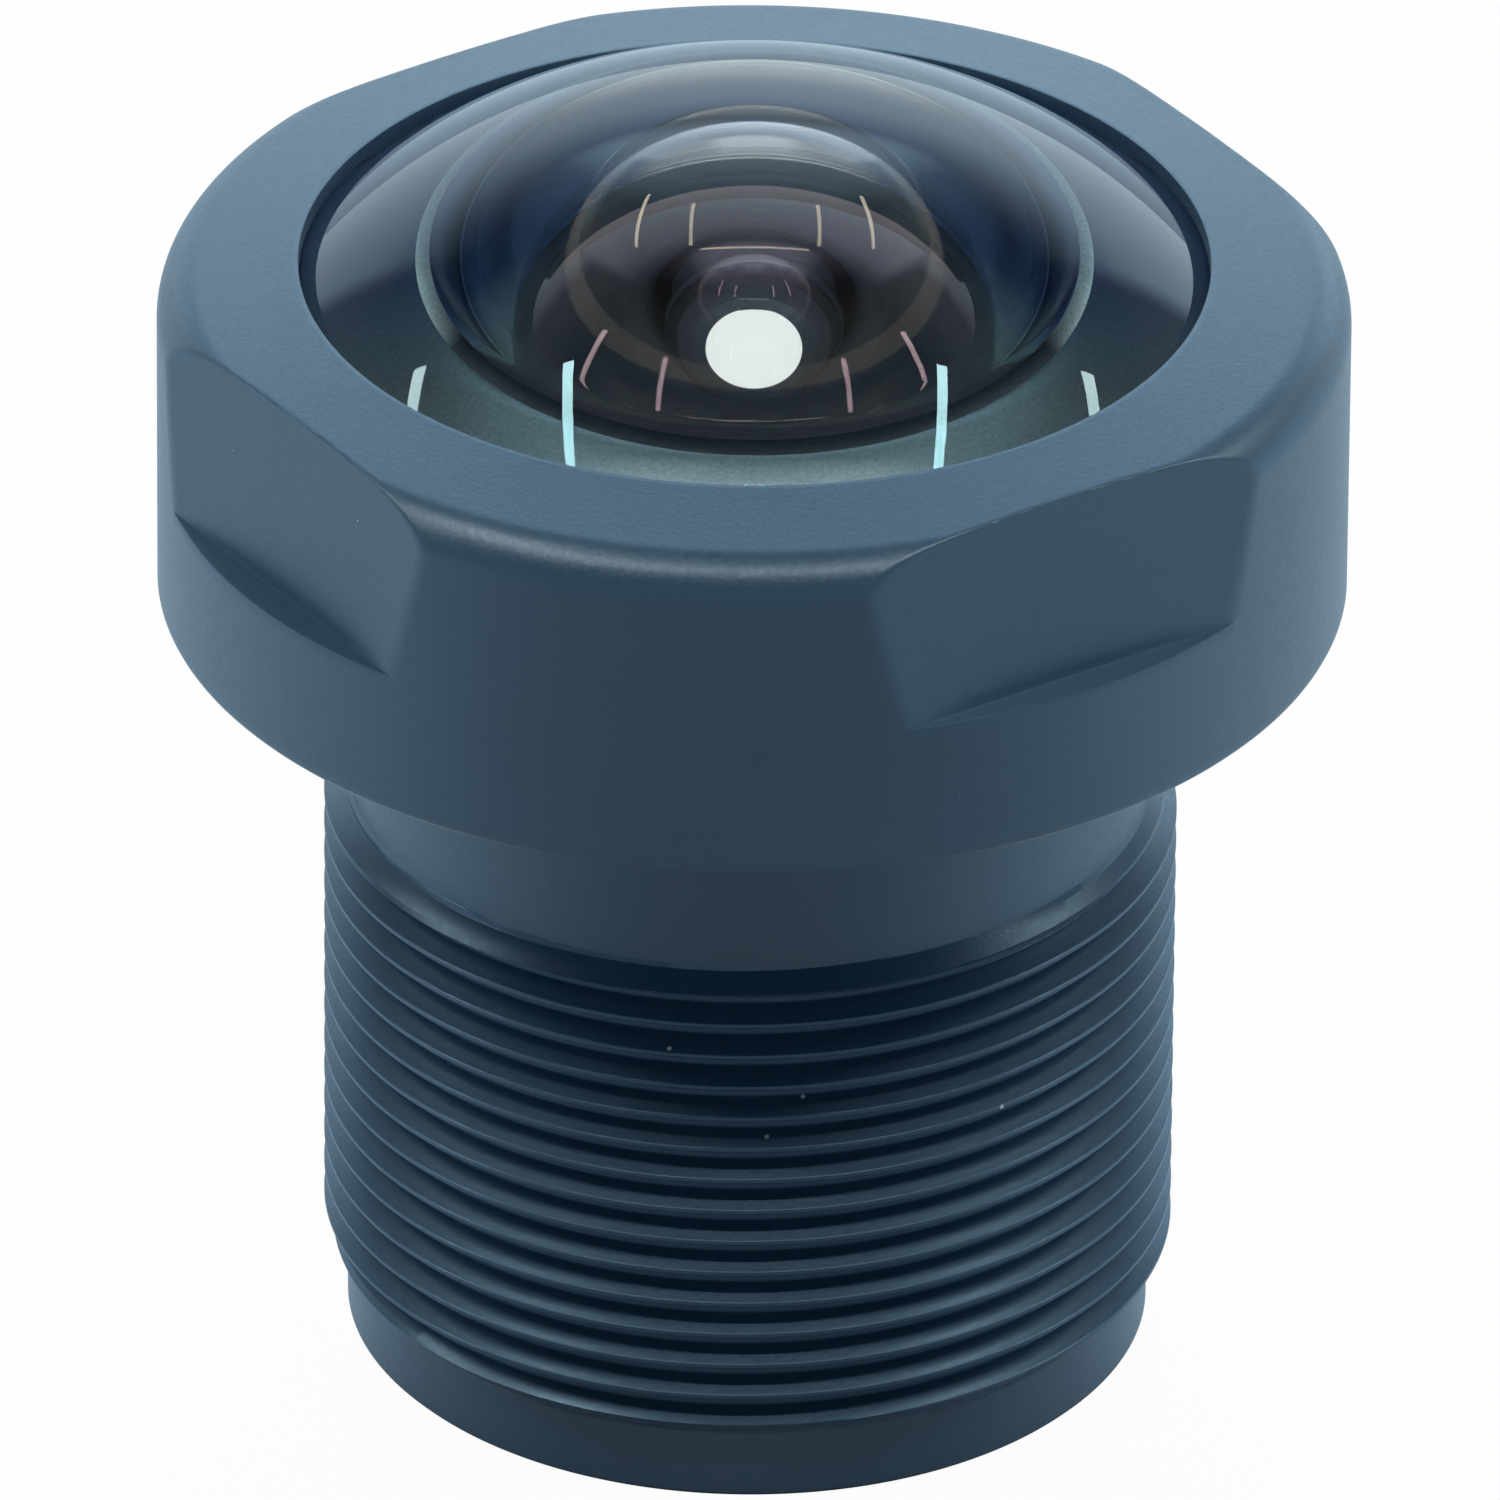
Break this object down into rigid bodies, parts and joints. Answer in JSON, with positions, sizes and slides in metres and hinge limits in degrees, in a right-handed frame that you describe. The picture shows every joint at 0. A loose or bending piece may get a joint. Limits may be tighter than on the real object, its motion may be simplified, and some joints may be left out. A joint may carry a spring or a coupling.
{
  "type": "board camera lens",
  "caption": "Wide-angle board camera lens with an M12 x 0.5 threaded barrel, a head with wrench flats and a domed front glass.",
  "frame": {"origin": "centre of the rear face of the barrel", "axes": "+Z along the optical axis, out through the front glass; +X, +Y, -X and -Y each square to one wrench flat"},
  "size_m": [0.0166, 0.0166, 0.0189],
  "materials": {
    "black_anodised": "fine bead-blasted black anodising",
    "blasted_black": "sand-blasted black anodising",
    "coated_glass": "polished, with a broadband coating",
    "coated_plastic": "moulded optical plastic, coated",
    "filter_glass": "polished flat glass with an infrared-cut coating",
    "black_plastic": "matte moulded",
    "black_sheet": "matte film",
    "blackened_steel": "blackened",
    "black_rubber": "matte"
  },
  "bodies": {
    "root": {"lens_barrel": "black_anodised", "front_cap": "black_anodised", "front_element": "coated_glass", "front_o_ring": "black_rubber", "front_spacer": "blasted_black", "second_element": "coated_plastic", "stepped_spacer": "black_plastic", "third_element": "coated_glass", "third_element_holder": "black_plastic", "aperture_stop": "blackened_steel", "fourth_element": "coated_glass", "fifth_element": "coated_glass", "doublet_holder": "black_plastic", "doublet_baffle_sheet": "black_sheet", "middle_spacer": "black_plastic", "sixth_element": "coated_plastic", "rear_spacer": "black_plastic", "seventh_element": "coated_plastic", "rear_baffle_sheet": "black_sheet", "ir_cut_filter": "filter_glass", "filter_gasket": "black_rubber", "rear_retaining_ring": "black_anodised"}
  },
  "joints": []
}
